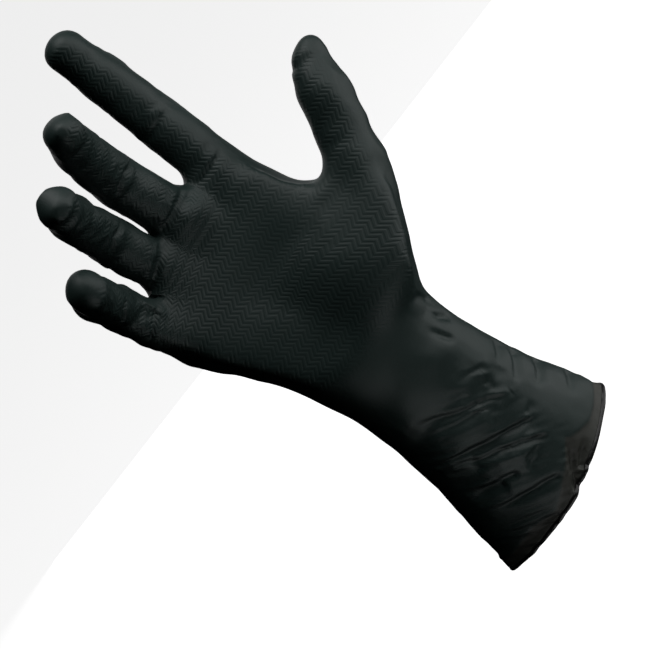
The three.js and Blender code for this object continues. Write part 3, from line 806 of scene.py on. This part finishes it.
def calculate(tree, operation, *values):
    inputs = dict(enumerate(values))
    return add_node(tree, "ShaderNodeMath", inputs, operation=operation).outputs[0]


def object_noise(tree, scale, detail):
    """Noise that stays in place on its piece"""
    where = add_node(tree, "ShaderNodeTexCoord")
    noise = add_node(
        tree, "ShaderNodeTexNoise",
        {"Vector": where.outputs["Object"], "Scale": scale, "Detail": detail},
    )
    return noise.outputs[0]


def blend(tree, share, first, second):
    """A colour between the two"""
    mixed = add_node(
        tree, "ShaderNodeMix", {"Factor": share, 6: first, 7: second}, data_type="RGBA",
    )
    return mixed.outputs[2]


def nitrile_surface(tree, colour, roughness, relief):
    shader = add_node(
        tree, "ShaderNodeBsdfPrincipled",
        {"Base Color": colour, "Roughness": roughness, "IOR": NITRILE_IOR, "Normal": relief},
    )
    add_node(tree, "ShaderNodeOutputMaterial", {"Surface": shader.outputs[0]})


def dipped_nitrile():
    """Black nitrile, dipped on a former with an engraved zigzag: satin, with a raised grip"""
    material, tree = new_material("dipped_nitrile")
    place = add_node(tree, "ShaderNodeAttribute", attribute_name="grip")
    split = add_node(tree, "ShaderNodeSeparateXYZ", {0: place.outputs["Vector"]})
    across, along, strength = split.outputs
    turns = calculate(tree, "MULTIPLY", along, 1 / GRIP_PERIOD)
    swing = calculate(tree, "PINGPONG", turns, 0.5)
    shifted = calculate(tree, "MULTIPLY_ADD", swing, 2 * GRIP_SWING, across)
    lines = calculate(tree, "MULTIPLY", shifted, 1 / GRIP_SPACING)
    ridge = calculate(tree, "PINGPONG", lines, 0.5)
    rounded = add_node(
        tree, "ShaderNodeMapRange",
        {"Value": ridge, "From Min": GRIP_FLANK[0], "From Max": GRIP_FLANK[1]},
        interpolation_type="SMOOTHSTEP",
    )
    raised = calculate(tree, "MULTIPLY", rounded.outputs[0], strength)
    grip = add_node(tree, "ShaderNodeBump", {"Height": raised, "Distance": GRIP_HEIGHT})
    skin = object_noise(tree, scale=900, detail=3)
    dimpled = add_node(
        tree, "ShaderNodeBump",
        {"Height": skin, "Distance": 0.03 * MM, "Normal": grip.outputs[0]},
    )
    cloud = object_noise(tree, scale=38, detail=4)
    body = blend(tree, cloud, linear("#223331"), linear("#2c3c39"))
    near_rim = add_node(tree, "ShaderNodeAttribute", attribute_name="near_rim")
    tinted = blend(tree, near_rim.outputs["Fac"], body, linear("#434540"))
    gloss = add_node(
        tree, "ShaderNodeMapRange",
        {"Value": cloud, "From Min": 0.3, "From Max": 0.7, "To Min": 0.46, "To Max": 0.56},
    )
    nitrile_surface(tree, tinted, gloss.outputs[0], dimpled.outputs[0])
    return material


def former_side_nitrile():
    """The film's inner face: smooth, with a thin powdery haze that greys it a little"""
    material, tree = new_material("chlorinated_nitrile")
    haze = object_noise(tree, scale=60, detail=5)
    body = blend(tree, haze, linear("#171b1b"), linear("#262b2b"))
    grain = add_node(tree, "ShaderNodeBump", {"Height": haze, "Distance": 0.1 * MM})
    nitrile_surface(tree, body, 0.55, grain.outputs[0])
    return material


def rolled_nitrile():
    """The bead: film rolled on itself, thicker and glossier, so it catches a thin bright line"""
    material, tree = new_material("rolled_nitrile")
    lumps = object_noise(tree, scale=320, detail=2)
    body = blend(tree, lumps, linear("#121414"), linear("#1f1d1c"))
    uneven = add_node(tree, "ShaderNodeBump", {"Height": lumps, "Distance": 0.25 * MM})
    nitrile_surface(tree, body, 0.3, uneven.outputs[0])
    return material


def lit_acrylic():
    """The white acrylic of a product table, lit from behind so that it runs into the background"""
    material, tree = new_material("lit_acrylic")
    shader = add_node(
        tree, "ShaderNodeBsdfPrincipled",
        {
            "Base Color": linear("#f4f4f4"),
            "Roughness": 0.6,
            "Emission Color": linear("#ffffff"),
            "Emission Strength": 0.85,
        },
    )
    add_node(tree, "ShaderNodeOutputMaterial", {"Surface": shader.outputs[0]})
    return material


def soft_box(name, side, distance, width, height, radiance):
    """A soft box that faces the glove"""
    light = bpy.data.lights.new(name, "AREA")
    light.shape = "RECTANGLE"
    light.size, light.size_y = width, height
    light.energy = radiance * math.pi * width * height
    shares = zip(side, (VIEW_RIGHT, VIEW_UP, VIEW_BACK))
    toward = sum((share * direction for share, direction in shares), Vector()).normalized()
    upright = toward.cross(VIEW_RIGHT).normalized()
    turn = Matrix((upright.cross(toward), upright, toward)).transposed()
    box = new_object(name, light)
    box.matrix_world = Matrix.Translation(GLOVE_MIDDLE + toward * distance) @ turn.to_4x4()


def studio():
    """Pale floor below the cuff, white surroundings and soft boxes

    The floor and the surroundings are seen but light nothing, because satin black would mirror
    them as a grey haze.
    """
    bm = bmesh.new()
    bmesh.ops.create_grid(bm, x_segments=1, y_segments=1, size=FLOOR_REACH)
    bmesh.ops.translate(bm, verts=bm.verts, vec=(0, 0, cad_box[0].z - FLOOR_DROP))
    floor = new_object("floor", mesh_from(bm, "floor"))
    floor.data.materials.append(lit_acrylic())
    floor.visible_diffuse = False
    floor.visible_glossy = False
    for name, (side, distance, width, height, radiance) in SOFT_BOXES.items():
        soft_box(name, side, distance, width, height, radiance)
    world = bpy.data.worlds.new("white_room")
    bpy.context.scene.world = world
    world.cycles_visibility.diffuse = False
    world.cycles_visibility.glossy = False
    world.use_nodes = True
    world.node_tree.nodes.clear()
    sky = add_node(
        world.node_tree, "ShaderNodeBackground", {"Color": (1, 1, 1, 1), "Strength": 1.0},
    )
    add_node(world.node_tree, "ShaderNodeOutputWorld", {"Surface": sky.outputs[0]})
    bpy.context.scene.view_settings.view_transform = "Standard"


def photo_camera():
    """The photograph's view: over the palm, with the fingers up and to the left"""
    data = bpy.data.cameras.new("photo_camera")
    data.sensor_fit = "AUTO"
    data.sensor_width = SENSOR_WIDTH
    data.lens = SENSOR_WIDTH * PHOTO_FOCAL / PHOTO_LONG_SIDE
    turn = Matrix((VIEW_RIGHT, VIEW_UP, VIEW_BACK)).transposed()
    camera = new_object("photo_camera", data)
    camera.matrix_world = Matrix.Translation(CAMERA_PLACE) @ turn.to_4x4()
    bpy.context.scene.camera = camera


photo_camera()
studio()
film, rim_line = glove_film(dipped_nitrile(), former_side_nitrile())
bead = rim_bead(rim_line, rolled_nitrile())
for piece in (film, bead):
    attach(piece, "root")
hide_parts("glove")
